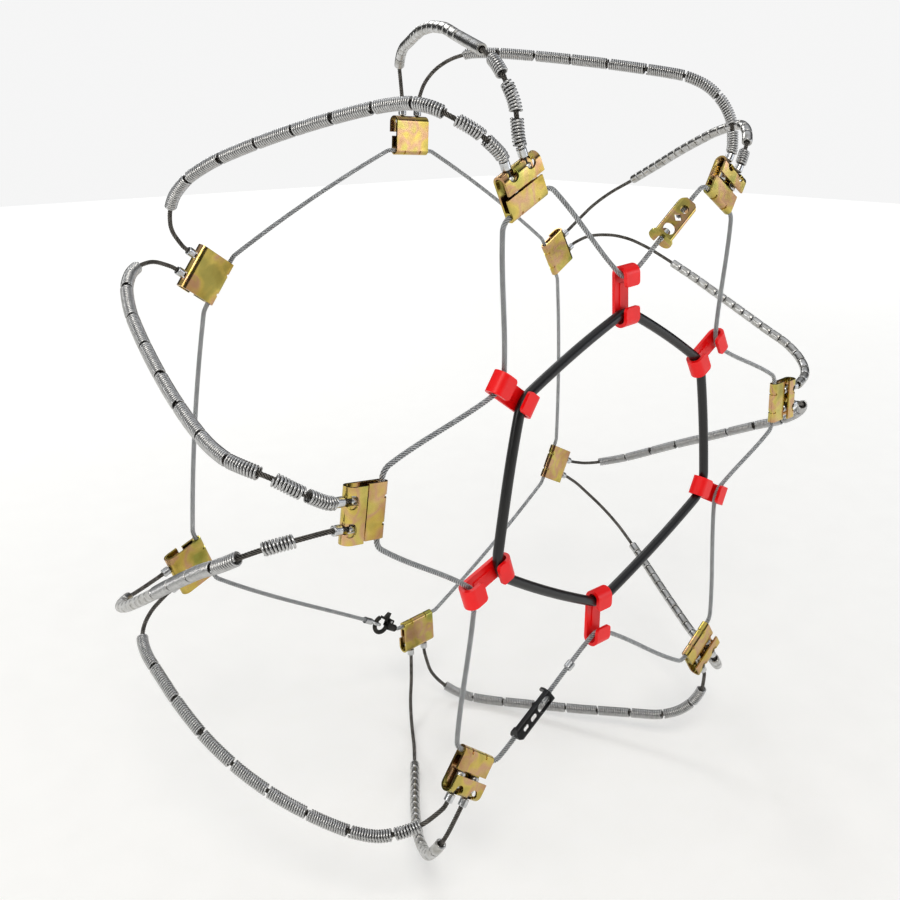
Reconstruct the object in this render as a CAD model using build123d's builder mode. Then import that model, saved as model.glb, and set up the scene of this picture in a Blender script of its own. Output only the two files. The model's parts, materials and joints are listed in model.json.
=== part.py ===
"""Cable tyre chain, drawn in the shape that it takes on a mounted tyre.

The wheel axis is Y, the outer side faces -Y and +Z is up. The origin is the tyre's centre.
Places on the wheel are given as an angle about the axis, a radius from it and a depth along it.
"""
from build123d import *
import math
import os

# ---- tyre that the set wraps, and the two planes of the side cables ----
tyre_radius = 326.6
tyre_half_width = 124.0
side_plane = 128.0            # side cables run this far each side of the tyre's middle
cable_radius_at_bracket = 240.5

# ---- where the brackets stand, in degrees about the wheel axis ----
outer_angles = {"a": 116.1, "b": 58.5, "c": 2.0, "d": -56.0, "e": -128.7, "f": -187.7}
inner_angles = {"ab": 87.3, "bc": 30.2, "cd": -27.0, "de": -86.5, "ef": -158.2, "fa": -215.8}
inner_drop = {"de": 6.0}      # this bracket hangs nearer the axis, where the cable is closed

# ---- ropes and cables ----
side_cable_diameter = 4.0
rope_diameter = 3.6
crimp_clearance = 0.05

# ---- folded bracket, from one strip of sheet steel ----
sheet = 1.8
bracket_width = 37.5
barrel_bore = side_cable_diameter / 2 + crimp_clearance
barrel_outer = barrel_bore + sheet
fold_inner = 3.65             # inside radius of the U fold, room for an end stop
fold_radius_place = 266.0     # where the U fold turns
seat_offset = 9.0             # each rope seat from the bracket's middle
seat_hole = 9.0
seat_hole_place = 267.8
seat_slot = 5.2
flap_edge = 257.0
tab_edge = 253.5
crimp_groove_places = (-9.0, 9.0)
groove_depth = 0.9
groove_width = 2.0
rope_height = fold_inner + sheet - barrel_outer   # rope line above the side plane

# ---- end stops and ferrules crimped on the ropes ----
stop_diameter = 6.8
stop_span = (254.8, 266.8)
ferrule_diameter = 7.0
ferrule_span = (271.8, 278.0)
rope_start = 255.6
bend_room = 3.0               # a rope's first bend, clear of its ferrule

# ---- traction coils and sleeves threaded on the ropes ----
coil_diameter = 9.4
coil_bore = 5.8
sleeve_diameter = 8.6
sleeve_bore = 5.2

# ---- rubber ring and its red hooks: angle and radius of ring and cable at each hook ----
ring_diameter = 8.0
# middle of each hook across the wheel and up, and the angle that it points at
hook_places = {
    "1": (7.8, 141.2, 93.7), "2": (-117.9, 85.4, 144.6), "3": (-142.0, -50.6, 199.0),
    "4": (-11.6, -124.6, 269.1), "5": (141.0, -54.2, 332.8), "6": (125.5, 76.5, 29.8),
}
hook_pitch = 31.0
hook_width = 16.5
hook_sheet = 2.8
hook_bight = 4.3              # inside radius of both folds
hook_tab = 9.0
hook_rib = 6.0
ring_bend = 25.0
ring_room = 3.2               # the ring's fold lies this much nearer the hub than the ring's middle
cable_bend = 15.0
cable_sag = 2.9               # the cable's middle lies this much nearer the hub than its fold
bracket_cable_bend = 10.0
bracket_bend_place = 26.0     # where a side cable bends, from a bracket's middle

# ---- joining hook and tightening hook of the outer side cable, from neck to jaw ----
channel_sheet = 1.6
channel_inside = 3.9          # half height left for a bead
channel_round = 2.6
neck_length = 6.0
neck_width = 8.5
cable_tail = 10.0             # cable end standing past the neck, inside the channel
corner_cut = 5.5
slot_width = 4.8
joining_roll = 40.0           # turn about the cable, away from facing straight out
tightening_roll = -20.0
joining_hook = {"start": 24.5, "length": 42.0, "width": 16.0, "sides": -2.0, "lip": 20.5, "lip_low": -9.0}
tightening_hook = {"start": 24.5, "length": 44.0, "width": 10.8, "sides": 1.0, "lip": 13.5, "lip_low": -7.0}
bead_diameter = 7.0
bead_length = 7.0
spare_bead_place = 94.0       # along the cable from its bend at bracket e

# ---- snap hook that closes the inner side cable ----
snap_start = 4.5              # socket from the cable's bend at bracket de
socket_diameter = 7.0
socket_length = 10.0
snap_wire = 4.4
snap_radius = 8.0
snap_nose_angle = 50.0
boss_size = (6.0, 9.0, 7.4)
lever_slot = 3.8
lever_width = 3.4
lever_thickness = 2.4
pivot_place = (-9.0, 5.6)
lever_tip = (3.2, 7.4)
pin_diameter = 2.4
pin_clearance = 0.06
eye_radius = 5.2
eye_wire = 3.0
eye_place = 9.4

# ---- routes: depth and radius of each station of a cross rope, outer side first ----
stations = [
    (-125.6, 303.0), (-117.5, 316.5), (-105.0, 326.5), (-88.0, 331.2),
    (-66.0, 332.0), (-40.0, 332.1), (-12.0, 332.1), (17.0, 332.1), (45.0, 332.1),
    (71.0, 331.8), (92.0, 329.8), (107.0, 323.6), (118.0, 314.0), (125.8, 301.0),
]
arched_stations = [
    (-127.0, 305.0), (-121.5, 319.0), (-110.0, 330.0), (-92.0, 336.0),
    (-55.0, 343.8), (-30.0, 347.2), (-4.0, 347.4), (20.0, 344.2), (44.0, 338.6),
    (70.0, 333.2), (92.0, 329.8), (107.0, 323.6), (118.0, 314.0), (125.8, 301.0),
]
slack_stations = [
    (-125.4, 300.0), (-117.5, 313.0), (-105.0, 324.0), (-87.0, 331.8),
    (-66.0, 337.4), (-40.0, 342.4), (-12.0, 344.6), (17.0, 343.6), (45.0, 339.4),
    (71.0, 333.8), (92.0, 329.6), (107.0, 323.4), (118.0, 313.8), (125.8, 300.8),
]
# share of the way round from the outer seat to the inner seat, at each station
even_lean = [0.02, 0.05, 0.10, 0.17, 0.24, 0.34, 0.45, 0.57, 0.68, 0.78, 0.85, 0.90, 0.94, 0.98]
late_lean = [0.06, 0.11, 0.13, 0.14, 0.17, 0.235, 0.32, 0.42, 0.525, 0.63, 0.74, 0.83, 0.90, 0.97]
early_lean = [0.05, 0.12, 0.19, 0.26, 0.32, 0.40, 0.49, 0.58, 0.67, 0.76, 0.835, 0.89, 0.94, 0.98]
arched_lean = [0.065, 0.085, 0.13, 0.19, 0.28, 0.365, 0.44, 0.505, 0.59, 0.695, 0.79, 0.85, 0.90, 0.96]
slack_lean = [0.055, 0.12, 0.155, 0.21, 0.295, 0.43, 0.56, 0.69, 0.81, 0.90, 0.95, 0.975, 0.99, 0.998]

cross_ropes = {
    "a_left": ("a", "fa", 1, stations, late_lean),
    "a_right": ("a", "ab", -1, arched_stations, arched_lean),
    "b_left": ("b", "ab", 1, stations, early_lean),
    "b_right": ("b", "bc", -1, stations, even_lean),
    "c_left": ("c", "bc", 1, stations, even_lean),
    "c_right": ("c", "cd", -1, stations, early_lean),
    "d_left": ("d", "cd", 1, stations, even_lean),
    "d_right": ("d", "de", -1, stations, early_lean),
    "e_left": ("e", "de", 1, stations, even_lean),
    "e_right": ("e", "ef", -1, slack_stations, slack_lean),
    "f_left": ("f", "ef", 1, stations, even_lean),
    "f_right": ("f", "fa", -1, stations, late_lean),
}

# ---- what is threaded on each rope from the outer ferrule: gap before it, length, kind ----
near_coils = [(0.6, 20.0, "coil"), (2.6, 21.0, "coil"), (8.0, 24.0, "coil")]
far_coils = [(25.0, 21.0, "coil"), (16.0, 25.0, "coil")]
tread_coils = [(0.5, 33.0, "coil")] * 8
short_sleeves = [(0.9, 11.0, "sleeve")] * 18
threaded = {
    "a_left": near_coils + tread_coils,
    "a_right": near_coils[:2] + [(6.0, 18.0, "coil"), (0.8, 35.0, "long")] + short_sleeves,
    "b_left": near_coils[:1] + [(3.5, 27.0, "coil")] + tread_coils,
    "b_right": [(0.6, 14.0, "coil"), (9.0, 11.0, "sleeve")] + short_sleeves,
    "c_left": [(3.0, 11.0, "sleeve")] + short_sleeves,
    "c_right": far_coils[:1] + tread_coils,
    "d_left": [(6.0, 11.0, "sleeve")] + short_sleeves,
    "d_right": far_coils[:1] + tread_coils,
    "e_left": [(34.0, 11.0, "sleeve")] + short_sleeves,
    "e_right": [(25.0, 21.0, "coil")] + tread_coils,
    "f_left": far_coils + tread_coils[:3] + short_sleeves,
    "f_right": near_coils + tread_coils,
}
threaded_end = 62.0           # bare rope left before the inner ferrule
long_sleeve_rope = "a_right"
long_sleeve_station = 5
long_sleeve_length = 34.0
long_sleeve_bend = 45.0


# ---- placing ----
def wheel_point(angle, radius, depth):
    turn = math.radians(angle)
    return Vector(radius * math.cos(turn), depth, radius * math.sin(turn))


def side_frame(angle, side, drop=0.0):
    """Plane with x outwards from the axis and z away from the tyre; side is -1 outer, 1 inner."""
    origin = wheel_point(angle, -drop, side * side_plane)
    return Plane(origin=origin, x_dir=wheel_point(angle, 1, 0), z_dir=(0, side, 0))


def inner_frame(pair):
    return side_frame(inner_angles[pair], 1, inner_drop.get(pair, 0.0))


def section_plane(frame):
    """Plane of a side profile: x outwards, y away from the tyre, on the frame's middle."""
    return Plane(origin=frame.origin, x_dir=frame.x_dir, z_dir=-frame.y_dir)


def local(frame, x, y, z):
    return frame.from_local_coords(Vector(x, y, z))


def bend_radii(points, end_room):
    """Largest arc at each corner that its two runs allow; the end corners have only end_room."""
    radii = []
    for before, corner, after in zip(points, points[1:], points[2:]):
        run_in = corner - before
        run_out = after - corner
        room = 0.45 * min(run_in.length, run_out.length)
        if before is points[0] or after is points[-1]:
            room = min(room, end_room)
        half_turn = math.radians(run_in.get_angle(run_out)) / 2
        radii.append(room / math.tan(half_turn))
    return radii


def tube_along(points, radii, diameter, closed=False):
    """Round solid along straight runs joined by arcs."""
    heading = points[1] - points[0]
    start = points[0]
    if closed:
        start = points[0] + heading * 0.5
    with BuildPart() as tube:
        with BuildLine() as route:
            FilletPolyline(*points, radius=radii, close=closed)
        with BuildSketch(Plane(origin=start, z_dir=heading)):
            Circle(diameter / 2)
        sweep(path=route.wire())
    return tube.part


def keep(part, name):
    part.label = name
    export_step(part, f"parts/{name}.step")


os.makedirs("parts", exist_ok=True)


# ---- brackets: back plate, rolled barrel and folded tab, U fold and flap with two rope seats ----
def make_bracket(frame):
    middle = section_plane(frame)
    plate_low = -barrel_outer
    plate_high = plate_low + sheet
    fold_outer = fold_inner + sheet
    flap_low = rope_height + fold_inner
    with BuildPart() as bracket:
        with BuildSketch(middle):
            with Locations((cable_radius_at_bracket, 0)):
                Circle(barrel_outer)
            with BuildLine():
                back_start = (cable_radius_at_bracket, plate_low)
                back_end = (fold_radius_place, plate_low)
                Line(back_start, back_end)
                ThreePointArc(
                    back_end,
                    (fold_radius_place + fold_outer, rope_height),
                    (fold_radius_place, rope_height + fold_outer),
                )
                Line((fold_radius_place, rope_height + fold_outer), (fold_radius_place, flap_low))
                ThreePointArc(
                    (fold_radius_place, flap_low),
                    (fold_radius_place + fold_inner, rope_height),
                    (fold_radius_place, plate_high),
                )
                Line((fold_radius_place, plate_high), (cable_radius_at_bracket, plate_high))
                Line((cable_radius_at_bracket, plate_high), back_start)
            make_face()
            with Locations((cable_radius_at_bracket, 0)):
                Circle(barrel_bore, mode=Mode.SUBTRACT)
        extrude(amount=bracket_width / 2, both=True)
        # the strip's end, folded back over the plate from the top of the barrel
        with BuildSketch(frame.offset(barrel_outer - sheet)):
            with Locations(((cable_radius_at_bracket + tab_edge) / 2, 0)):
                Rectangle(tab_edge - cable_radius_at_bracket, bracket_width)
        extrude(amount=sheet)
        # flap, with round free corners
        with BuildSketch(frame.offset(flap_low)):
            with Locations(((flap_edge + fold_radius_place) / 2, 0)):
                flap_face = Rectangle(fold_radius_place - flap_edge, bracket_width)
            free_corners = flap_face.vertices().filter_by_position(
                Axis(frame.origin, frame.x_dir), flap_edge - 0.1, flap_edge + 0.1
            )
            if free_corners:
                fillet(free_corners, 6.0)
        extrude(amount=sheet)
        # rope seats: a round hole in the flap that runs on as a slot through the fold
        for side in (-1, 1):
            with BuildSketch(frame.offset(flap_low - 0.5)):
                with Locations((seat_hole_place, side * seat_offset)):
                    Circle(seat_hole / 2)
            extrude(amount=sheet + 1.0, mode=Mode.SUBTRACT)
            with BuildSketch(frame.offset(rope_height - seat_slot / 2)):
                with Locations((fold_radius_place + fold_outer / 2 + 0.5, side * seat_offset)):
                    Rectangle(fold_outer + 1.0, seat_slot)
            extrude(amount=fold_outer + seat_slot, mode=Mode.SUBTRACT)
        # two crimp grooves pressed into the barrel
        for place in crimp_groove_places:
            groove_plane = Plane(
                origin=local(frame, cable_radius_at_bracket, place, 0), x_dir=frame.x_dir, z_dir=frame.y_dir
            )
            with BuildSketch(groove_plane):
                Circle(barrel_outer + 1.0)
                Circle(barrel_outer - groove_depth, mode=Mode.SUBTRACT)
                with Locations((barrel_outer, 0)):
                    Rectangle(2 * barrel_outer, 4 * barrel_outer, mode=Mode.SUBTRACT)
            extrude(amount=groove_width / 2, both=True, mode=Mode.SUBTRACT)
    return bracket.part


for letter, angle in outer_angles.items():
    keep(make_bracket(side_frame(angle, -1)), f"outer_bracket_{letter}")
for pair in inner_angles:
    keep(make_bracket(inner_frame(pair)), f"inner_bracket_{pair}")


# ---- cross ropes, with their end stops, ferrules, coils and sleeves ----
def seat_points(frame, offset):
    """Where a rope starts inside a bracket, and where it clears the ferrule."""
    start = local(frame, rope_start, offset, rope_height)
    clear = local(frame, ferrule_span[1] + 1.5 * bend_room, offset, rope_height)
    return start, clear


def rope_route(outer, inner, turn, places, lean):
    outer_start, outer_clear = seat_points(side_frame(outer_angles[outer], -1), turn * seat_offset)
    inner_start, inner_clear = seat_points(inner_frame(inner), turn * seat_offset)
    seat_turn = math.degrees(math.atan2(seat_offset, ferrule_span[1]))
    first = outer_angles[outer] + turn * seat_turn
    last = inner_angles[inner] - turn * seat_turn
    last = first + (last - first + 180) % 360 - 180
    points = [outer_start, outer_clear]
    for (depth, radius), share in zip(places, lean):
        points.append(wheel_point(first + (last - first) * share, radius, depth))
    points += [inner_clear, inner_start]
    return points


def collar(frame, offset, span, outer_diameter, bevel):
    """Short tube on the rope at its seat in a bracket."""
    low, high = span
    plane = Plane(
        origin=local(frame, low, offset, rope_height), x_dir=frame.y_dir, z_dir=frame.x_dir
    )
    with BuildPart() as tube:
        with BuildSketch(plane):
            Circle(outer_diameter / 2)
            Circle(rope_diameter / 2 + crimp_clearance, mode=Mode.SUBTRACT)
        extrude(amount=high - low)
        ends = tube.edges().filter_by(GeomType.CIRCLE)
        rims = ends.filter_by(lambda edge: edge.radius > outer_diameter / 2 - 0.1)
        chamfer(rims, bevel)
    return tube.part


def sleeve_along(route, start, length, outer_diameter, bore):
    """Tube that follows the rope over a stretch of it."""
    whole = route.length
    stretch = route.trim(start / whole, (start + length) / whole)
    plane = Plane(origin=stretch @ 0, z_dir=stretch % 0)
    with BuildPart() as tube:
        with BuildSketch(plane):
            Circle(outer_diameter / 2)
            Circle(bore / 2, mode=Mode.SUBTRACT)
        sweep(path=stretch)
    return tube.part


end_stops = []
ferrules = []
for name, (outer, inner, turn, places, lean) in cross_ropes.items():
    points = rope_route(outer, inner, turn, places, lean)
    radii = bend_radii(points, bend_room)
    if name == long_sleeve_rope:
        radii = [min(radius, long_sleeve_bend) for radius in radii]
        long_run = (points[long_sleeve_station], points[long_sleeve_station + 1])
    rope = tube_along(points, radii, rope_diameter)
    keep(rope, f"cross_rope_{name}")
    for frame in (side_frame(outer_angles[outer], -1), inner_frame(inner)):
        end_stops.append(collar(frame, turn * seat_offset, stop_span, stop_diameter, 0.8))
        ferrules.append(collar(frame, turn * seat_offset, ferrule_span, ferrule_diameter, 0.5))
    with BuildLine() as rope_line:
        FilletPolyline(*points, radius=radii)
    route = rope_line.wire()
    section = math.pi * (rope_diameter / 2) ** 2
    print(name, f"rope length {route.length:.0f} mm, tightest bend {min(radii):.0f} mm,",
          f"volume against length {rope.volume / (section * route.length):.4f}")
    coils = []
    sleeves = []
    place = ferrule_span[1] - rope_start
    for gap, length, kind in threaded[name]:
        place += gap
        if place + length > route.length - threaded_end:
            break
        if kind == "coil":
            coils.append(sleeve_along(route, place, length, coil_diameter, coil_bore))
        if kind == "sleeve":
            sleeves.append(sleeve_along(route, place, length, sleeve_diameter, sleeve_bore))
        if kind == "long":
            middle = (long_run[0] + long_run[1]) * 0.5
            place = route.param_at_point(middle) * route.length - long_sleeve_length / 2
        place += length
    if coils:
        keep(Compound(children=coils), f"traction_coils_{name}")
    if sleeves:
        keep(Compound(children=sleeves), f"traction_sleeves_{name}")
keep(Compound(children=end_stops), "rope_end_stops")
keep(Compound(children=ferrules), "rope_ferrules")

long_axis = (long_run[1] - long_run[0]).normalized()
long_middle = (long_run[0] + long_run[1]) * 0.5
with BuildPart() as long_sleeve:
    with BuildSketch(Plane(origin=long_middle, z_dir=long_axis)):
        Circle(sleeve_diameter / 2)
        Circle(sleeve_bore / 2, mode=Mode.SUBTRACT)
    extrude(amount=long_sleeve_length / 2, both=True)
print("long sleeve", long_middle, long_axis)
keep(long_sleeve.part, "long_sleeve")


# ---- outer side cables: through the brackets, and round the folds of the red hooks ----
def hook_frame(name):
    """Origin in the hook's middle, x along it towards the side cable, z away from the tyre."""
    across, up, angle = hook_places[name]
    return Plane(origin=(across, -side_plane, up), x_dir=wheel_point(angle, 1, 0), z_dir=(0, -1, 0))


def bracket_corners(frame):
    """The cable's two bends beside a bracket; the first one is at the lower angle if outer."""
    low = local(frame, cable_radius_at_bracket, -bracket_bend_place, 0)
    high = local(frame, cable_radius_at_bracket, bracket_bend_place, 0)
    return low, high


outer_corners = {}
for letter, angle in outer_angles.items():
    outer_corners[letter] = bracket_corners(side_frame(angle, -1))
hook_line = {}
for name in hook_places:
    hook_line[name] = local(hook_frame(name), hook_pitch / 2 - cable_sag, 0, 0)


def corner_outside(before, rough, after, bend):
    """Corner whose arc, not whose point, passes through the rough place."""
    half_turn = math.radians((rough - before).get_angle(after - rough)) / 2
    inward = ((before - rough).normalized() + (after - rough).normalized()).normalized()
    return rough - inward * bend * (1 / math.cos(half_turn) - 1)


def hooked(before, name, after):
    return corner_outside(before, hook_line[name], after, cable_bend)


def hook_bend(name, low_bracket, high_bracket):
    before = outer_corners[low_bracket][1]
    after = outer_corners[high_bracket][0]
    return corner_outside(before, hook_line[name], after, cable_bend)


hook_bends = {
    "1": hook_bend("1", "b", "a"),
    "2": hook_bend("2", "a", "f"),
    "3": hook_bend("3", "f", "e"),
    "4": hook_bend("4", "e", "d"),
    "5": hook_bend("5", "d", "c"),
    "6": hook_bend("6", "c", "b"),
}


def run_plane(start, end, distance, side, roll=0.0):
    """Plane on a cable's run with x along the run, z away from the tyre, turned about x."""
    heading = (end - start).normalized()
    facing = Vector(0, side, 0).rotate(Axis((0, 0, 0), heading), roll)
    return Plane(origin=start + heading * distance, x_dir=heading, z_dir=facing)


joining_plane = run_plane(
    outer_corners["b"][1], hook_bends["1"], joining_hook["start"], -1, joining_roll
)
tightening_plane = run_plane(
    outer_corners["e"][1], hook_bends["4"], tightening_hook["start"], -1, tightening_roll
)


def bead_span(size):
    high = size["length"] - channel_sheet - 0.15
    return high - bead_length, high


def cable_in_neck(plane):
    return local(plane, neck_length + cable_tail, 0, 0)


def cable_in_bead(plane, size):
    return local(plane, bead_span(size)[0] + 0.5, 0, 0)


def side_cable(points, bends):
    return tube_along(points, bends, side_cable_diameter)


left_points = [cable_in_bead(joining_plane, joining_hook), hook_bends["1"]]
left_points += [*outer_corners["a"], hook_bends["2"], *outer_corners["f"], hook_bends["3"]]
left_points += [*outer_corners["e"], cable_in_neck(tightening_plane)]
left_bends = [cable_bend] + [bracket_cable_bend, bracket_cable_bend, cable_bend] * 2
left_bends += [bracket_cable_bend] * 2
keep(side_cable(left_points, left_bends), "left_side_cable")

right_points = [cable_in_neck(joining_plane), *outer_corners["b"][::-1], hook_bends["6"]]
right_points += [*outer_corners["c"][::-1], hook_bends["5"], *outer_corners["d"][::-1]]
right_points += [hook_bends["4"], cable_in_bead(tightening_plane, tightening_hook)]
right_bends = [bracket_cable_bend, bracket_cable_bend, cable_bend] * 3
keep(side_cable(right_points, right_bends), "right_side_cable")


# ---- joining hook and tightening hook: folded channels with a crimped neck and an open jaw ----
def make_channel_hook(plane, size, openings):
    """openings: place along the hook, length and width of each hole in the front plate."""
    length = size["length"]
    width = size["width"]
    top = channel_inside + channel_sheet
    low = size["sides"]
    lip_low = size["lip_low"]
    section = Plane(origin=plane.origin, x_dir=plane.y_dir, z_dir=plane.x_dir)
    with BuildPart() as hook:
        # front plate with both sides turned in
        with BuildSketch(section):
            with Locations((0, (top + low) / 2 - channel_round)):
                RectangleRounded(width, top - low + 2 * channel_round, channel_round)
            with Locations((0, (channel_inside + low) / 2 - channel_round)):
                inside = width - 2 * channel_sheet
                Rectangle(inside, channel_inside - low + 2 * channel_round, mode=Mode.SUBTRACT)
            with Locations((0, low - channel_round)):
                Rectangle(2 * width, 2 * channel_round, mode=Mode.SUBTRACT)
        extrude(amount=length)
        # neck, pressed round the cable
        with BuildSketch(section):
            with Locations((0, (top - neck_width / 2) / 2)):
                RectangleRounded(neck_width, top + neck_width / 2, channel_round)
        extrude(amount=neck_length)
        with BuildSketch(plane.offset(-neck_width)):
            with Locations((0, width / 2), (0, -width / 2)):
                Rectangle(corner_cut, corner_cut, rotation=45)
        extrude(amount=2 * neck_width, mode=Mode.SUBTRACT)
        # the jaw's end wall, whose rim stands out at the back and the sides
        with BuildSketch(section.offset(length - channel_sheet)):
            with Locations((0, (lip_low + top) / 2)):
                RectangleRounded(size["lip"], top - lip_low, 0.45 * (top - lip_low))
            with Locations((0, lip_low / 2)):
                Rectangle(slot_width, -lip_low, mode=Mode.SUBTRACT)
            Circle(slot_width / 2, mode=Mode.SUBTRACT)
        extrude(amount=channel_sheet)
        with BuildSketch(section):
            Circle(barrel_bore)
        extrude(amount=neck_length + 1.0, mode=Mode.SUBTRACT)
        with BuildSketch(plane.offset(channel_inside - 0.5)):
            for place, long, wide in openings:
                with Locations((place, 0)):
                    if long > wide:
                        SlotOverall(long, wide)
                    else:
                        RegularPolygon(wide / 2, 4)
        extrude(amount=channel_sheet + 1.0, mode=Mode.SUBTRACT)
    return hook.part


joining_openings = [(10.5, 8.0, 7.0), (20.5, 8.0, 8.0), (34.0, 11.0, 9.6)]
tightening_openings = [(10.5, 6.0, 4.6), (20.5, 7.0, 4.6), (34.0, 15.0, 7.6)]
keep(make_channel_hook(joining_plane, joining_hook, joining_openings), "joining_hook")
keep(make_channel_hook(tightening_plane, tightening_hook, tightening_openings), "tightening_hook")


def make_bead(plane, low):
    """Bead crimped on a cable: a short tube with rounded rims."""
    with BuildPart() as bead:
        with BuildSketch(Plane(origin=local(plane, low, 0, 0), x_dir=plane.y_dir, z_dir=plane.x_dir)):
            Circle(bead_diameter / 2)
            Circle(side_cable_diameter / 2 + crimp_clearance, mode=Mode.SUBTRACT)
        extrude(amount=bead_length)
        rims = bead.edges().filter_by(GeomType.CIRCLE)
        rims = rims.filter_by(lambda edge: edge.radius > bead_diameter / 2 - 0.1)
        fillet(rims, 0.9)
    return bead.part


spare_plane = run_plane(outer_corners["e"][1], hook_bends["4"], spare_bead_place, -1)
beads = [
    make_bead(joining_plane, bead_span(joining_hook)[0]),
    make_bead(tightening_plane, bead_span(tightening_hook)[0]),
    make_bead(spare_plane, 0.0),
]
keep(Compound(children=beads), "cable_beads")


# ---- rubber ring, a closed cord that runs through the six red hooks ----
ring_points = []
for name in hook_places:
    ring_points.append(local(hook_frame(name), -hook_pitch / 2, 0, 0))
ring_corners = []
for index, point in enumerate(ring_points):
    before = ring_points[index - 1]
    after = ring_points[(index + 1) % len(ring_points)]
    ring_corners.append(corner_outside(before, point, after, ring_bend))
keep(tube_along(ring_corners, ring_bend, ring_diameter, closed=True), "rubber_ring")


# ---- red hooks: a strap behind cable and ring, folded over the front at both ends ----
def make_red_hook(frame):
    inner = hook_bight
    outer = hook_bight + hook_sheet
    far = hook_pitch / 2
    near = -hook_pitch / 2 - ring_room
    with BuildPart() as hook:
        with BuildSketch(section_plane(frame)):
            with BuildLine():
                Line((near, -outer), (far, -outer))
                ThreePointArc((far, -outer), (far + outer, 0), (far, outer))
                Line((far, outer), (far - hook_tab, outer))
                Line((far - hook_tab, outer), (far - hook_tab, inner))
                Line((far - hook_tab, inner), (far, inner))
                ThreePointArc((far, inner), (far + inner, 0), (far, -inner))
                Line((far, -inner), (near, -inner))
                ThreePointArc((near, -inner), (near - inner, 0), (near, inner))
                Line((near, inner), (near + hook_tab, inner))
                Line((near + hook_tab, inner), (near + hook_tab, outer))
                Line((near + hook_tab, outer), (near, outer))
                ThreePointArc((near, outer), (near - outer, 0), (near, -outer))
            make_face()
        extrude(amount=hook_width / 2, both=True)
        tab_corners = hook.edges().filter_by(
            lambda edge: edge.length < hook_sheet + 0.01
            and abs(edge.tangent_at(0.5).dot(frame.z_dir)) > 0.99
        )
        fillet(tab_corners, 3.0)
        with BuildSketch(frame.offset(-inner - 0.5)):
            with Locations(((far + near) / 2, 0)):
                Rectangle(hook_pitch - 2.0 * hook_tab + 6.0, hook_rib)
        extrude(amount=1.2)
    return hook.part


for name in hook_places:
    keep(make_red_hook(hook_frame(name)), f"red_hook_{name}")


# ---- inner side cable, closed by a snap hook and an eye ----
inner_corners = {}
for pair in inner_angles:
    inner_corners[pair] = bracket_corners(inner_frame(pair))
snap_from = inner_corners["de"][1]
snap_to = inner_corners["ef"][0]
snap_middle = snap_start + socket_length + snap_radius + snap_wire / 2
snap_plane = run_plane(snap_from, snap_to, snap_middle, 1)
socket_end = -snap_radius - snap_wire / 2
eye_neck_start = eye_place + eye_radius
eye_neck_length = 9.0

inner_points = [local(snap_plane, eye_neck_start + 2.0, 0, 0)]
for pair in ("ef", "fa", "ab", "bc", "cd", "de"):
    inner_points += inner_corners[pair]
inner_points.append(local(snap_plane, socket_end - socket_length + 7.0, 0, 0))
inner_bends = [bracket_cable_bend] * (len(inner_points) - 2)
keep(side_cable(inner_points, inner_bends), "inner_side_cable")


def along(plane, x, y=0.0, z=0.0):
    """Plane across the cable's run at a place on it."""
    return Plane(origin=local(plane, x, y, z), x_dir=plane.y_dir, z_dir=plane.x_dir)


def across(plane, x, y, z=0.0):
    return Plane(origin=local(plane, x, y, z), x_dir=plane.x_dir, z_dir=plane.z_dir)


with BuildPart() as snap_hook:
    with BuildSketch(along(snap_plane, socket_end - socket_length)):
        Circle(socket_diameter / 2)
    extrude(amount=socket_length + 1.0)
    with BuildSketch(along(snap_plane, socket_end - socket_length)):
        Circle(barrel_bore)
    extrude(amount=8.2, mode=Mode.SUBTRACT)
    nose = math.radians(snap_nose_angle)
    with BuildLine(across(snap_plane, 0, 0)):
        CenterArc((0, 0), snap_radius, 180, 180 + snap_nose_angle)
    with BuildSketch(Plane(origin=local(snap_plane, -snap_radius, 0, 0), z_dir=-snap_plane.y_dir)):
        Circle(snap_wire / 2)
    sweep()
    boss_long, boss_high, boss_deep = boss_size
    with BuildSketch(across(snap_plane, pivot_place[0] - 0.6, boss_high / 2 - 1.0, -boss_deep / 2)):
        RectangleRounded(boss_long, boss_high, 1.5)
    extrude(amount=boss_deep)
    with BuildSketch(across(snap_plane, pivot_place[0], pivot_place[1] + 3.0, -lever_slot / 2)):
        Rectangle(boss_long * 3, 12.4)
    extrude(amount=lever_slot, mode=Mode.SUBTRACT)
    with BuildSketch(across(snap_plane, *pivot_place, -boss_deep)):
        Circle(pin_diameter / 2)
    extrude(amount=2 * boss_deep, mode=Mode.SUBTRACT)
keep(snap_hook.part, "snap_hook")

with BuildPart() as lever_pin:
    with BuildSketch(across(snap_plane, *pivot_place, -boss_deep / 2 - 0.4)):
        Circle(pin_diameter / 2)
    extrude(amount=boss_deep + 0.8)
keep(lever_pin.part, "snap_lever_pin")

with BuildPart() as snap_lever:
    with BuildSketch(across(snap_plane, 0, 0, -lever_width / 2)):
        with BuildLine():
            Polyline(
                (pivot_place[0], pivot_place[1] - lever_thickness / 2),
                (lever_tip[0], lever_tip[1] - lever_thickness / 2),
                (lever_tip[0], lever_tip[1] + lever_thickness / 2),
                (pivot_place[0] + 8.0, pivot_place[1] + lever_thickness / 2 + 1.2),
                (pivot_place[0] + 5.0, pivot_place[1] + 8.0),
                (pivot_place[0] + 2.4, pivot_place[1] + 8.0),
                (pivot_place[0] + 2.4, pivot_place[1] + lever_thickness / 2 + 0.6),
                (pivot_place[0], pivot_place[1] + lever_thickness / 2),
                close=True,
            )
        make_face()
        with Locations(pivot_place):
            Circle(2.6)
            Circle(pin_diameter / 2 + pin_clearance, mode=Mode.SUBTRACT)
    extrude(amount=lever_width)
keep(snap_lever.part, "snap_lever")

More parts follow.
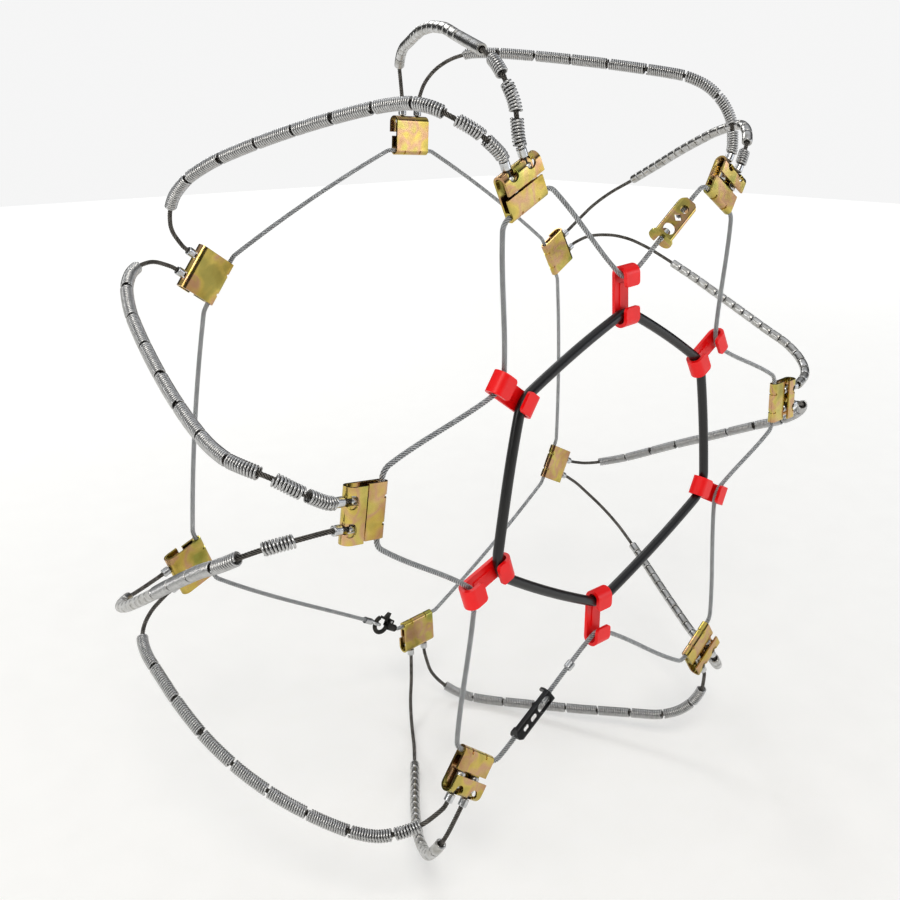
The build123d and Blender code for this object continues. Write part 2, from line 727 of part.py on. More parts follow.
with BuildPart() as cable_eye:
    with BuildLine(Plane(origin=local(snap_plane, eye_place, 0, 0), x_dir=snap_plane.x_dir,
                         z_dir=snap_plane.y_dir)):
        CenterArc((0, 0), eye_radius, 0, 360)
    with BuildSketch(Plane(origin=local(snap_plane, eye_place + eye_radius, 0, 0),
                           x_dir=snap_plane.x_dir, z_dir=snap_plane.z_dir)):
        Circle(eye_wire / 2)
    sweep()
    with BuildSketch(along(snap_plane, eye_neck_start)):
        Circle(3.2)
    extrude(amount=eye_neck_length)
    with BuildSketch(along(snap_plane, eye_neck_start + 1.8)):
        Circle(barrel_bore)
    extrude(amount=eye_neck_length, mode=Mode.SUBTRACT)
keep(cable_eye.part, "cable_eye")

for label, plane in (("joining", joining_plane), ("tightening", tightening_plane), ("snap", snap_plane)):
    print(label, plane.origin, plane.x_dir)
print("lever pivot", local(snap_plane, *pivot_place, 0))
for name in hook_places:
    print("hook", name, local(hook_frame(name), -hook_pitch / 2, 0, 0), hook_frame(name).y_dir)
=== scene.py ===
"""Cable tyre chain in its mounted shape: camera, light, finishes, and the wound and stranded steel."""
import heapq
import json
import math

import bmesh
import bpy
import numpy as np
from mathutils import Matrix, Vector


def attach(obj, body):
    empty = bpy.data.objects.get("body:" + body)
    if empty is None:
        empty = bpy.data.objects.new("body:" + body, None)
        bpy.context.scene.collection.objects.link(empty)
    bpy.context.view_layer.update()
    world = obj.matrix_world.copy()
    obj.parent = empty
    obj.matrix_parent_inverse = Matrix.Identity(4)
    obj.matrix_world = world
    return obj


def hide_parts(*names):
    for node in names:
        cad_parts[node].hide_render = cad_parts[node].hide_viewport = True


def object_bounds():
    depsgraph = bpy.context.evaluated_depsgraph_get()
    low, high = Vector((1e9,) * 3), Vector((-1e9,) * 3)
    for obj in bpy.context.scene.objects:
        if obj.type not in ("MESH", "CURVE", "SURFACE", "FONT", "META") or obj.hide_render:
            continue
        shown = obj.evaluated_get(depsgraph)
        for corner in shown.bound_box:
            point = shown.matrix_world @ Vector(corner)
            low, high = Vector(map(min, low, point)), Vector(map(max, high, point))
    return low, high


MM = 0.001

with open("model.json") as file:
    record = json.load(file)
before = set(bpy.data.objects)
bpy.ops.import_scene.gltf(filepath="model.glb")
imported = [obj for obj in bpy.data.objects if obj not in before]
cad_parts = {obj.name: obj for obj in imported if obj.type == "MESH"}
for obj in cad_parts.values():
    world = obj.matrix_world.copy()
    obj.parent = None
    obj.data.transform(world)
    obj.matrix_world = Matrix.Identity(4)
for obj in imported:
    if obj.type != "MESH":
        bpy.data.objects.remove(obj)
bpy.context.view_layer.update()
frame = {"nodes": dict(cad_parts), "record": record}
nodes = frame["nodes"]
record = frame["record"]
slot_of = {part["node"]: part["material_slot"] for part in record["subparts"]}
body_with = {}
for body, members in record["behaviour"]["bodies"].items():
    for member in members:
        body_with[member] = body

# ---- sizes of the wound and stranded steel ----
rope_radius = 1.8 * MM
cable_radius = 2.0 * MM
coil_radius = 4.7 * MM
coil_wire = 1.7 * MM
sleeve_radius = 4.3 * MM
sleeve_bore = 2.6 * MM        # radius
sleeve_bevel = 0.5 * MM
ring_radius = 4.0 * MM
near_coils = 120.0 * MM       # coils nearer than this to the outer bracket are stretched open
near_pitch = 1.24             # turn spacing of those, in wire thicknesses
far_pitch = 1.10
rope_lay = 13.0 * MM
cable_lay = 14.0 * MM
inside_solid = 0.99           # drawn steel stays this share of the solid it stands for
same_corner = 1e-6
end_turn = 0.35               # a corner whose faces turn more than this is on a cut end
edge_round = {"red_plastic": 0.7, "plated_steel": 0.28, "black_steel": 0.4, "dark_steel": 0.3}
other_edges = 0.15


# ---- camera ----
def place_camera():
    data = bpy.data.cameras.new("camera")
    data.sensor_fit = "HORIZONTAL"
    data.sensor_width = 36.0
    data.lens = 41.78
    data.shift_y = -0.0889
    data.clip_end = 50.0
    camera = bpy.data.objects.new("camera", data)
    bpy.context.scene.collection.objects.link(camera)
    camera.location = (-0.6299, -0.6144, 0.2819)
    aim = Vector((0.6605, 0.7091, -0.2468))
    camera.rotation_euler = aim.to_track_quat("-Z", "Y").to_euler()
    bpy.context.scene.camera = camera


place_camera()


# ---- node material helpers ----
def linear(colour):
    """sRGB hex to a linear RGBA value."""
    values = []
    for place in (0, 2, 4):
        share = int(colour[place:place + 2], 16) / 255
        if share <= 0.04045:
            values.append(share / 12.92)
        else:
            values.append(((share + 0.055) / 1.055) ** 2.4)
    return (*values, 1.0)


def start_material(name):
    material = bpy.data.materials.new(name)
    material.use_nodes = True
    tree = material.node_tree
    shader = tree.nodes["Principled BSDF"]
    return material, tree, shader


def add(tree, kind, inputs=None, **settings):
    """Adds a node; inputs maps a socket to a value or to another node's output."""
    node = tree.nodes.new(kind)
    for key, value in settings.items():
        setattr(node, key, value)
    for key, value in (inputs or {}).items():
        socket = node.inputs[key]
        if isinstance(value, bpy.types.NodeSocket):
            tree.links.new(value, socket)
        else:
            socket.default_value = value
    return node


def ramp(tree, factor, stops):
    node = add(tree, "ShaderNodeValToRGB", {"Fac": factor})
    elements = node.color_ramp.elements
    while len(elements) < len(stops):
        elements.new(0.5)
    for element, (place, colour) in zip(elements, stops):
        element.position = place
        element.color = linear(colour)
    return node.outputs["Color"]


def spread(tree, value, low, high):
    """Value from 0..1 to low..high."""
    node = add(tree, "ShaderNodeMapRange", {"Value": value, "To Min": low, "To Max": high})
    return node.outputs["Result"]


def noise(tree, size_mm, detail=4.0, roughness=0.55, distortion=0.0):
    where = add(tree, "ShaderNodeTexCoord").outputs["Object"]
    node = add(tree, "ShaderNodeTexNoise", {
        "Vector": where, "Scale": 1 / (size_mm * MM), "Detail": detail,
        "Roughness": roughness, "Distortion": distortion,
    })
    return node.outputs["Fac"]


def bump(tree, height, depth_mm, strength=1.0):
    node = add(tree, "ShaderNodeBump", {"Height": height, "Distance": depth_mm * MM, "Strength": strength})
    return node.outputs["Normal"]


def link(tree, value, shader, socket):
    tree.links.new(value, shader.inputs[socket])


def mix(tree, factor, first, second, blend="MIX"):
    node = add(tree, "ShaderNodeMix", {0: factor, 6: first, 7: second}, data_type="RGBA", blend_type=blend)
    return node.outputs[2]


# Zinc-plated pressed steel, yellow passivated: a gold sheen that drifts to rose and olive in clouds.
def plated_zinc():
    material, tree, shader = start_material("plated_zinc_yellow")
    clouds = noise(tree, 16.0, detail=2.0, roughness=0.4, distortion=0.5)
    broad = noise(tree, 48.0, detail=1.0)
    film = mix(tree, 0.5, clouds, broad)
    gold = [(0.36, "a89c52"), (0.45, "c9b25c"), (0.52, "c39a78"), (0.58, "c6b464"), (0.68, "9da052")]
    colour = ramp(tree, film, gold)
    stain = ramp(tree, noise(tree, 24.0, detail=4.0), [(0.40, "ffffff"), (0.78, "cfbf9f")])
    link(tree, mix(tree, 1.0, colour, stain, "MULTIPLY"), shader, "Base Color")
    shader.inputs["Metallic"].default_value = 1.0
    link(tree, spread(tree, noise(tree, 5.0, detail=4.0), 0.14, 0.26), shader, "Roughness")
    link(tree, bump(tree, noise(tree, 7.0, detail=2.0), 0.10, 0.6), shader, "Normal")
    return material


# Stranded wire, bare or galvanised: fine wires across each strand, with painted shade in the grooves where
# the strands meet.
def stranded_steel(name, bright, dark, groove_shade_colour, wires_mm, rough):
    material, tree, shader = start_material(name)
    groove_shade = add(tree, "ShaderNodeAttribute", attribute_name="groove_shade").outputs["Fac"]
    patina = ramp(tree, noise(tree, 5.0), [(0.35, bright), (0.75, dark)])
    # painted shade: the deeper a corner lies between strands, the closer its colour goes to the dark groove
    # colour
    colour = mix(tree, groove_shade, patina, linear(groove_shade_colour))
    link(tree, colour, shader, "Base Color")
    shader.inputs["Metallic"].default_value = 0.9
    link(tree, spread(tree, noise(tree, 0.8), rough, rough + 0.2), shader, "Roughness")
    wires = add(tree, "ShaderNodeUVMap", uv_map="lay").outputs["UV"]
    wave = add(tree, "ShaderNodeTexWave", {"Vector": wires, "Scale": 1.0}, wave_type="BANDS",
               bands_direction="DIAGONAL", wave_profile="SIN")
    link(tree, bump(tree, wave.outputs["Fac"], wires_mm, 0.8), shader, "Normal")
    return material


# Hardened spring wire: mid grey, drawing marks along the wire, with a painted brownish shade on the inner
# side that faces the rope.
def coil_steel():
    material, tree, shader = start_material("spring_wire_steel")
    inner_shade = add(tree, "ShaderNodeAttribute", attribute_name="inner_shade").outputs["Fac"]
    tone = ramp(tree, noise(tree, 3.2, detail=5.0), [(0.30, "c4c4c3"), (0.60, "b0b0af"), (0.80, "989694")])
    # painted shade: the wire's inner side, facing the rope, is mixed towards a dark brownish grey
    colour = mix(tree, inner_shade, tone, linear("5a5753"))
    link(tree, colour, shader, "Base Color")
    shader.inputs["Metallic"].default_value = 1.0
    link(tree, spread(tree, noise(tree, 3.0, detail=3.0), 0.26, 0.38), shader, "Roughness")
    link(tree, bump(tree, noise(tree, 0.35, detail=3.0), 0.02, 0.5), shader, "Normal")
    return material


# Plain steel: satin tube or pressed ferrule with fine marks and a few stains.
def satin_steel(name, bright, dark, rough, marks_mm=0.5):
    material, tree, shader = start_material(name)
    colour = ramp(tree, noise(tree, 6.0, detail=5.0), [(0.35, bright), (0.72, dark)])
    link(tree, colour, shader, "Base Color")
    shader.inputs["Metallic"].default_value = 1.0
    link(tree, spread(tree, noise(tree, 1.4, detail=6.0), rough, rough + 0.18), shader, "Roughness")
    link(tree, bump(tree, noise(tree, marks_mm, detail=4.0), 0.03, 0.6), shader, "Normal")
    return material


# Rubber cord: near black, soft sheen, faint mould grain and grey dust.
def black_rubber():
    material, tree, shader = start_material("rubber_cord_black")
    dust = ramp(tree, noise(tree, 14.0, detail=6.0), [(0.45, "020202"), (0.85, "060606")])
    link(tree, dust, shader, "Base Color")
    link(tree, spread(tree, noise(tree, 4.0), 0.26, 0.40), shader, "Roughness")
    link(tree, bump(tree, noise(tree, 0.6, detail=3.0), 0.02, 0.5), shader, "Normal")
    return material


# Moulded plastic: saturated red, soft gloss, slight ripple and hairline scuffs.
def red_plastic():
    material, tree, shader = start_material("moulded_plastic_red")
    tone = ramp(tree, noise(tree, 18.0), [(0.3, "ee0509"), (0.8, "dc0408")])
    link(tree, tone, shader, "Base Color")
    link(tree, spread(tree, noise(tree, 2.5, detail=6.0), 0.30, 0.44), shader, "Roughness")
    shader.inputs["Specular IOR Level"].default_value = 0.35
    link(tree, bump(tree, noise(tree, 5.0, detail=2.0), 0.06, 0.4), shader, "Normal")
    return material


# Black coated steel: semi-gloss, slightly worn to grey.
def black_steel():
    material, tree, shader = start_material("coated_steel_black")
    tone = ramp(tree, noise(tree, 4.0, detail=6.0), [(0.55, "08090b"), (0.80, "1f2124")])
    link(tree, tone, shader, "Base Color")
    shader.inputs["Metallic"].default_value = 0.35
    link(tree, spread(tree, noise(tree, 1.5, detail=5.0), 0.24, 0.42), shader, "Roughness")
    link(tree, bump(tree, noise(tree, 0.8, detail=4.0), 0.03, 0.6), shader, "Normal")
    return material


# Floor: pale matt paper with barely seen grain; a painted glow makes it brighter away from the chain so that
# it has no edge.
def pale_floor():
    material, tree, shader = start_material("floor_pale")
    tone = ramp(tree, noise(tree, 40.0), [(0.3, "e9e9e7"), (0.8, "e5e5e3")])
    link(tree, tone, shader, "Base Color")
    shader.inputs["Roughness"].default_value = 0.8
    shader.inputs["Emission Color"].default_value = linear("fbfbfa")
    place = add(tree, "ShaderNodeNewGeometry").outputs["Position"]
    away = add(tree, "ShaderNodeVectorMath", {0: place}, operation="LENGTH").outputs["Value"]
    share = add(tree, "ShaderNodeMath", {0: away, 1: 0.28}, operation="MULTIPLY").outputs["Value"]
    # painted light: the floor glows more the farther it is from the middle, so the far floor stays as bright
    # as the lit floor near the chain
    link(tree, spread(tree, share, 0.15, 0.70), shader, "Emission Strength")
    link(tree, bump(tree, noise(tree, 1.5), 0.05, 0.3), shader, "Normal")
    return material


finishes = {
    "plated_steel": plated_zinc(),
    # the third colour of each stranded steel is the painted shade in the grooves between its strands
    "steel_rope": stranded_steel("rope_steel_dark", "8a8680", "4a4742", "141210", 0.10, 0.32),
    "steel_cable": stranded_steel("cable_steel_galvanised", "d3d5d6", "b0b2b3", "4e4f50", 0.10, 0.30),
    "coil_steel": coil_steel(),
    "sleeve_steel": satin_steel("tube_steel_satin", "c6c6c5", "98968f", 0.22),
    "ferrule_steel": satin_steel("ferrule_bright", "d4d5d5", "a9abac", 0.22),
    "black_rubber": black_rubber(),
    "red_plastic": red_plastic(),
    "black_steel": black_steel(),
    "dark_steel": satin_steel("tool_steel_dark", "3b3a38", "232220", 0.30),
    "bright_steel": satin_steel("bright_steel", "c9caca", "9a9b9c", 0.18),
}


# ---- centre lines, read from the CAD solids ----
def tube_surface(node, radius):
    """Each corner of a round bar: its place on the middle line, if it is on an end, its neighbours."""
    data = bmesh.new()
    data.from_mesh(nodes[node].data)
    bmesh.ops.remove_doubles(data, verts=data.verts, dist=same_corner)
    data.normal_update()
    data.verts.index_update()
    middles = []
    on_end = []
    neighbours = []
    for vertex in data.verts:
        facing = [face.normal for face in vertex.link_faces]
        turn = min(first.dot(second) for first in facing for second in facing)
        weighted = Vector()
        for face in vertex.link_faces:
            corner = next(loop for loop in face.loops if loop.vert == vertex)
            weighted += face.normal * corner.calc_angle()
        inward = Vector() if turn < end_turn else weighted.normalized() * radius
        middles.append(np.array(vertex.co - inward))
        on_end.append(turn < end_turn)
        neighbours.append([edge.other_vert(vertex).index for edge in vertex.link_edges])
    data.free()
    return np.array(middles), np.array(on_end), neighbours


def distances_from(first, middles, neighbours):
    """Shortest way to each corner over the bar's surface, measured along the middle line."""
    distance = np.full(len(middles), np.inf)
    queue = []
    for index in first:
        distance[index] = 0.0
        queue.append((0.0, int(index)))
    heapq.heapify(queue)
    while queue:
        here, index = heapq.heappop(queue)
        if here > distance[index]:
            continue
        for other in neighbours[index]:
            there = here + np.linalg.norm(middles[other] - middles[index])
            if there < distance[other] - 1e-9:
                distance[other] = there
                heapq.heappush(queue, (there, other))
    return distance


def merge_near(points, reach):
    """One mean point for each run of neighbouring points."""
    merged = [[points[0]]]
    for point in points[1:]:
        if np.linalg.norm(point - merged[-1][0]) < reach:
            merged[-1].append(point)
        else:
            merged.append([point])
    return np.array([np.mean(cluster, axis=0) for cluster in merged])


def centre_line(node, radius):
    """Ordered points along a bar; a bar with no ends comes back closed."""
    middles, on_end, neighbours = tube_surface(node, radius)
    if on_end.any():
        ends = np.flatnonzero(on_end)
        near = np.linalg.norm(middles[ends] - middles[ends[0]], axis=1) < 2.6 * radius
        first, last = ends[near], ends[~near]
        distance = distances_from(first, middles, neighbours)
        order = np.argsort(distance)
        order = order[~on_end[order]]
        line = merge_near(middles[order], 0.6 * MM)
        return np.vstack([middles[first].mean(axis=0), line, middles[last].mean(axis=0)])
    around = np.arctan2(middles[:, 2], middles[:, 0])
    line = merge_near(middles[np.argsort(around)], 0.6 * MM)
    return np.vstack([line, line[:1]])


def smooth_line(line, step, closed=False):
    """The same line at even steps, rounded by a cubic between its points."""
    runs = np.linalg.norm(np.diff(line, axis=0), axis=1)
    keep = np.concatenate([[True], runs > 0.05 * MM])
    line = line[keep]
    runs = np.linalg.norm(np.diff(line, axis=0), axis=1)
    place = np.concatenate([[0], np.cumsum(runs)])
    slopes = np.diff(line, axis=0) / runs[:, None]
    tangents = np.empty_like(line)
    weight = (runs[:-1] / (runs[:-1] + runs[1:]))[:, None]
    tangents[1:-1] = slopes[:-1] * (1 - weight) + slopes[1:] * weight
    tangents[0] = slopes[0]
    tangents[-1] = slopes[-1]
    if closed:
        tangents[0] = tangents[-1] = (slopes[0] + slopes[-1]) / 2
    tangents /= np.linalg.norm(tangents, axis=1)[:, None]
    count = max(2, int(round(place[-1] / step)) + 1)
    wanted = np.linspace(0, place[-1], count)
    index = np.clip(np.searchsorted(place, wanted, side="right") - 1, 0, len(runs) - 1)
    share = ((wanted - place[index]) / runs[index])[:, None]
    run = runs[index][:, None]
    start, end = line[index], line[index + 1]
    pull_in, pull_out = tangents[index] * run, tangents[index + 1] * run
    cubed, squared = share ** 3, share ** 2
    result = (2 * cubed - 3 * squared + 1) * start + (cubed - 2 * squared + share) * pull_in
    return result + (3 * squared - 2 * cubed) * end + (cubed - squared) * pull_out


def line_frames(line, closed=False):
    """Tangent and two steady cross directions at each point."""
    tangents = np.gradient(line, axis=0)
    if closed:
        tangents[0] = tangents[-1] = line[1] - line[-2]
    tangents /= np.linalg.norm(tangents, axis=1)[:, None]
    first = np.cross(tangents[0], (0.0, 1.0, 0.0))
    if np.linalg.norm(first) < 0.1:
        first = np.cross(tangents[0], (1.0, 0.0, 0.0))
    side = np.empty_like(line)
    side[0] = first / np.linalg.norm(first)
    for index in range(1, len(line)):
        carried = side[index - 1] - tangents[index] * side[index - 1].dot(tangents[index])
        side[index] = carried / np.linalg.norm(carried)
    return tangents, side, np.cross(tangents, side)


def distance_along(points):
    return np.concatenate([[0], np.cumsum(np.linalg.norm(np.diff(points, axis=0), axis=1))])


def measured_run(line):
    """A rope's line with the distance, the heading and two cross directions at each point."""
    points = smooth_line(line, 0.8 * MM)
    tangents, side, up = line_frames(points)
    return {"points": points, "length": distance_along(points), "tangents": tangents, "side": side, "up": up}


def read_at(run, what, where):
    """One of a run's rows of vectors, at some distances along it."""
    return np.stack([np.interp(where, run["length"], run[what][:, axis]) for axis in range(3)], axis=1)


def ring_round(angle, side, up):
    """Unit circles of the given angles in each pair of cross directions."""
    return np.cos(angle)[None, :, None] * side[:, None, :] + np.sin(angle)[None, :, None] * up[:, None, :]


# ---- meshes wound along a line ----
def skin(name, rings, closed, attributes=None, lay=None):
    """Mesh over rings of points, with open ends capped."""
    sections, around = rings.shape[:2]
    vertices = rings.reshape(-1, 3)
    faces = []
    last = sections if closed else sections - 1
    for row in range(last):
        low = row * around
        high = ((row + 1) % sections) * around
        for step in range(around):
            following = (step + 1) % around
            faces.append((low + step, low + following, high + following, high + step))
    if not closed:
        faces.append(tuple(range(around))[::-1])
        faces.append(tuple(range((sections - 1) * around, sections * around)))
    mesh = bpy.data.meshes.new(name)
    mesh.from_pydata(vertices.tolist(), [], faces)
    for label, values in (attributes or {}).items():
        layer = mesh.attributes.new(label, "FLOAT", "POINT")
        layer.data.foreach_set("value", values.reshape(-1).astype(np.float32))
    if lay is not None:
        layer = mesh.uv_layers.new(name="lay")
        corners = np.empty(len(mesh.loops), dtype=np.int32)
        mesh.loops.foreach_get("vertex_index", corners)
        layer.data.foreach_set("uv", lay.reshape(-1, 2)[corners].reshape(-1).astype(np.float32))
    mesh.polygons.foreach_set("use_smooth", [True] * len(mesh.polygons))
    mesh.update()
    return mesh


def show(mesh, name, slot, body):
    piece = bpy.data.objects.new(name, mesh)
    bpy.context.scene.collection.objects.link(piece)
    mesh.materials.append(finishes[slot])
    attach(piece, body)
    return piece


def stranded(name, line, radius, lay_length, slot, body, strands=6, around=42):
    """Rope: strands laid in a helix around the line."""
    line = smooth_line(line, 0.9 * MM)
    tangents, side, up = line_frames(line)
    length = distance_along(line)
    angle = np.linspace(0, 2 * math.pi, around, endpoint=False)
    sector = 2 * math.pi / strands
    strand_centre = radius * 2 / 3
    strand_radius = radius / 3
    offset = (angle + sector / 2) % sector - sector / 2
    reach = strand_centre * np.sin(offset)
    out = strand_centre * np.cos(offset) + np.sqrt(np.maximum(strand_radius ** 2 - reach ** 2, 0))
    # painted shade: how deep each corner lies in the groove between strands, used to darken the colour there
    groove_shade = np.clip((radius - out) / (0.22 * radius), 0, 1) ** 1.5
    turn = length[:, None] * 2 * math.pi / lay_length + angle[None, :]
    across = np.cos(turn)[..., None] * side[:, None, :] + np.sin(turn)[..., None] * up[:, None, :]
    rings = line[:, None, :] + across * out[None, :, None]
    wires = np.stack([
        np.broadcast_to(angle[None, :] * 30 / math.pi, turn.shape),
        np.broadcast_to(length[:, None] / (0.9 * MM), turn.shape),
    ], axis=-1)
    groove_shade_all = np.broadcast_to(groove_shade[None, :], turn.shape)
    mesh = skin(name, rings, False, {"groove_shade": groove_shade_all}, wires)
    return show(mesh, name, slot, body)


def coil_rings(run, start, end, pitch, phase, sides=9, steps=22):
    """Rings of one coil between two distances on the run, and the painted shade on the side of the wire that
    faces the rope.
    """
    turns = (end - start - coil_wire) / pitch
    count = int(turns * steps) + 1
    where = np.linspace(start + coil_wire / 2, end - coil_wire / 2, count)
    turn = phase + 2 * math.pi * (where - where[0]) / pitch
    outward = np.cos(turn)[:, None] * read_at(run, "side", where)
    outward += np.sin(turn)[:, None] * read_at(run, "up", where)
    middle = read_at(run, "points", where) + outward * (coil_radius - coil_wire / 2)
    heading = np.gradient(middle, axis=0)
    heading /= np.linalg.norm(heading, axis=1)[:, None]
    binormal = np.cross(heading, outward)
    binormal /= np.linalg.norm(binormal, axis=1)[:, None]
    angle = np.linspace(0, 2 * math.pi, sides, endpoint=False)
    size = np.full(count, coil_wire / 2)
    size[0] = size[-1] = coil_wire * 0.42
    rings = middle[:, None, :] + ring_round(angle, outward, binormal) * size[:, None, None]
    # painted shade: corners on the side of the wire facing the rope get a darker colour in the coil finish
    inner_shade = np.broadcast_to(np.clip(-np.cos(angle), 0, 1)[None, :] ** 1.2, (count, sides))
    return rings, inner_shade


def join_meshes(name, parts):
    """One mesh from several skins."""
    merged = bmesh.new()
    for part in parts:
        merged.from_mesh(part)
        bpy.data.meshes.remove(part)
    mesh = bpy.data.meshes.new(name)
    merged.to_mesh(mesh)
    merged.free()
    mesh.polygons.foreach_set("use_smooth", [True] * len(mesh.polygons))
    return mesh


def loose_parts(node):
    """Vertex positions of each separate solid in a CAD node."""
    data = bmesh.new()
    data.from_mesh(nodes[node].data)
    bmesh.ops.remove_doubles(data, verts=data.verts, dist=same_corner)
    unseen = set(data.verts)
    solids = []
    while unseen:
        reached = [unseen.pop()]
        solid = []
        while reached:
            vertex = reached.pop()
            solid.append(np.array(vertex.co))
            for edge in vertex.link_edges:
                other = edge.other_vert(vertex)
                if other in unseen:
                    unseen.remove(other)
                    reached.append(other)
        solids.append(np.array(solid))
    data.free()
    return solids


def span_on(solid, run):
    """First and last distance along the run that a solid covers."""
    places = []
    for corner in solid:
        nearest = int(np.argmin(np.sum((run["points"] - corner) ** 2, axis=1)))
        past = (corner - run["points"][nearest]).dot(run["tangents"][nearest])
        places.append(run["length"][nearest] + past)
    return min(places), max(places)


def sleeve_rings(run, start, end, around=28):
    """Rings of one sleeve on the run: outside, over the end, and back inside."""
    radius, bore, bevel = sleeve_radius, sleeve_bore, sleeve_bevel
    ease = bevel * 0.35
    outline = [(start, bore), (start, radius - bevel), (start + ease, radius - ease), (start + bevel, radius)]
    inside_steps = max(2, int((end - start) / (2.0 * MM)))
    for place in np.linspace(start + bevel, end - bevel, inside_steps)[1:-1]:
        outline.append((place, radius))
    outline += [(end - bevel, radius), (end - ease, radius - ease), (end, radius - bevel), (end, bore)]
    for place in np.linspace(end, start, inside_steps)[1:-1]:
        outline.append((place, bore))
    where = np.array([place for place, reach in outline])
    reach = np.array([reach for place, reach in outline])
    angle = np.linspace(0, 2 * math.pi, around, endpoint=False)
    circles = ring_round(angle, read_at(run, "side", where), read_at(run, "up", where))
    return read_at(run, "points", where)[:, None, :] + circles * reach[:, None, None]


# ---- cross ropes with what is threaded on them ----
rope_names = sorted(name for name in nodes if name.startswith("cross_rope_"))
runs = {}
for node in rope_names:
    line = centre_line(node, rope_radius)
    if line[0][1] > line[-1][1]:
        line = line[::-1]
    radius = rope_radius * inside_solid
    piece = stranded(f"{node}_strands", line, radius, rope_lay, "steel_rope", body_with[node])
    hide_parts(node)
    runs[node.removeprefix("cross_rope_")] = measured_run(line)

for name, run in runs.items():
    coil_node = f"traction_coils_{name}"
    if coil_node in nodes:
        spans = sorted(span_on(solid, run) for solid in loose_parts(coil_node))
        windings = []
        for number, (start, end) in enumerate(spans):
            pitch = coil_wire * (near_pitch if end < near_coils else far_pitch)
            turns = round((end - start - coil_wire) / pitch)
            pitch = (end - start - coil_wire) / turns
            rings, inner_shade = coil_rings(run, start, end, pitch, 1.7 * number)
            windings.append(skin("winding", rings, False, {"inner_shade": inner_shade}))
        name_of_coils = f"{coil_node}_wire"
        wound = join_meshes(name_of_coils, windings)
        coils = show(wound, name_of_coils, "coil_steel", body_with[coil_node])
        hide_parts(coil_node)
    sleeve_node = f"traction_sleeves_{name}"
    if sleeve_node in nodes:
        tubes = []
        for start, end in sorted(span_on(solid, run) for solid in loose_parts(sleeve_node)):
            tubes.append(skin("tube", sleeve_rings(run, start, end), True))
        name_of_sleeves = f"{sleeve_node}_tubes"
        drawn = join_meshes(name_of_sleeves, tubes)
        sleeves = show(drawn, name_of_sleeves, "sleeve_steel", body_with[sleeve_node])
        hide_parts(sleeve_node)

# ---- side cables and the rubber ring ----
for node in ("left_side_cable", "right_side_cable", "inner_side_cable"):
    line = centre_line(node, cable_radius)
    radius = cable_radius * inside_solid
    piece = stranded(f"{node}_strands", line, radius, cable_lay, "steel_cable", body_with[node])
    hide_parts(node)

line = centre_line("rubber_ring", ring_radius)
points = smooth_line(line, 1.5 * MM, True)[:-1]
wrapped = np.vstack([points, points[:1]])
tangents = line_frames(wrapped, True)[0][:-1]
angle = np.linspace(0, 2 * math.pi, 40, endpoint=False)
across = np.broadcast_to((0.0, 1.0, 0.0), points.shape)
outward = np.cross(tangents, across)
outward /= np.linalg.norm(outward, axis=1)[:, None]
rings = points[:, None, :] + ring_round(angle, outward, across) * ring_radius * 0.995
ring_mesh = skin("rubber_ring_cord", rings, True)
cord = show(ring_mesh, "rubber_ring_cord", "black_rubber", body_with["rubber_ring"])
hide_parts("rubber_ring")

# ---- finishes and softened edges on the pieces that stay as drawn ----
for node, piece in nodes.items():
    if piece.hide_render:
        continue
    slot = slot_of[node]
    piece.data.materials.clear()
    piece.data.materials.append(finishes[slot])
    weld = piece.modifiers.new("weld", "WELD")
    weld.merge_threshold = 0.004 * MM
    rounding = piece.modifiers.new("rounded_edges", "BEVEL")
    rounding.width = edge_round.get(slot, other_edges) * MM
    rounding.segments = 2
    rounding.limit_method = "ANGLE"
    rounding.angle_limit = math.radians(35)
    rounding.use_clamp_overlap = True
    for face in piece.data.polygons:
        face.use_smooth = True
    shading = piece.modifiers.new("shading", "WEIGHTED_NORMAL")
    shading.keep_sharp = True

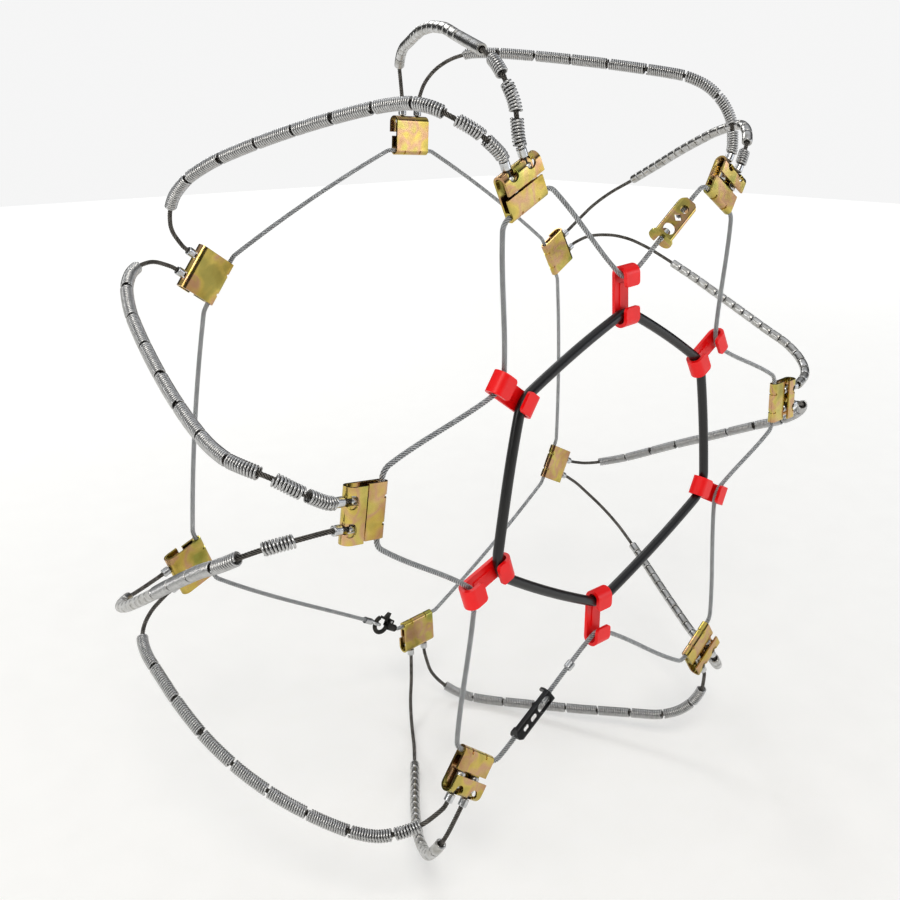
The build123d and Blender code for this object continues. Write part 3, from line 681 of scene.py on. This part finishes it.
# ---- floor and light ----
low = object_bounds()[0]
floor_data = bpy.data.meshes.new("floor")
reach = 6.0
height = low.z - 0.0005
corners = [(-reach, -reach, height), (reach, -reach, height), (reach, reach, height), (-reach, reach, height)]
floor_data.from_pydata(corners, [], [(0, 1, 2, 3)])
floor_data.materials.append(pale_floor())
floor = bpy.data.objects.new("floor", floor_data)
bpy.context.scene.collection.objects.link(floor)


def soft_light(name, place, aim, width, power, colour="ffffff"):
    data = bpy.data.lights.new(name, "AREA")
    data.shape = "RECTANGLE"
    data.size = width
    data.size_y = width * 0.7
    data.energy = power
    data.color = linear(colour)[:3]
    light = bpy.data.objects.new(name, data)
    light.location = place
    light.rotation_euler = (Vector(aim) - Vector(place)).to_track_quat("-Z", "Y").to_euler()
    bpy.context.scene.collection.objects.link(light)


soft_light("key_light", (-1.3, -1.5, 2.0), (0, 0, 0), 1.1, 26.0, "fffaf2")
soft_light("fill_light", (1.7, -1.6, 0.5), (0, 0, 0), 1.2, 9.0, "f2f6ff")
soft_light("left_light", (-2.2, 0.2, 0.7), (0, 0, 0), 0.9, 10.0)
soft_light("rim_light", (0.5, 1.9, 1.5), (0, 0, 0), 1.0, 12.0)


def studio_world():
    """Seen directly it is near white; in gloss it is pale above and dark at the sides."""
    world = bpy.data.worlds.new("studio")
    world.use_nodes = True
    tree = world.node_tree
    background = tree.nodes["Background"]
    where = add(tree, "ShaderNodeTexCoord").outputs["Generated"]
    height = add(tree, "ShaderNodeSeparateXYZ", {"Vector": where}).outputs["Z"]
    tones = [(0.0, "303132"), (0.45, "3c3d3f"), (0.62, "a4a6a9"), (0.85, "f4f6fa")]
    sky = ramp(tree, height, tones)
    path = add(tree, "ShaderNodeLightPath")
    soft = mix(tree, path.outputs["Is Diffuse Ray"], sky, (0.50, 0.50, 0.50, 1.0))
    white = mix(tree, path.outputs["Is Camera Ray"], soft, (1.02, 1.02, 1.02, 1.0))
    tree.links.new(white, background.inputs["Color"])
    background.inputs["Strength"].default_value = 0.9
    bpy.context.scene.world = world
    bpy.context.scene.view_settings.view_transform = "Standard"


studio_world()
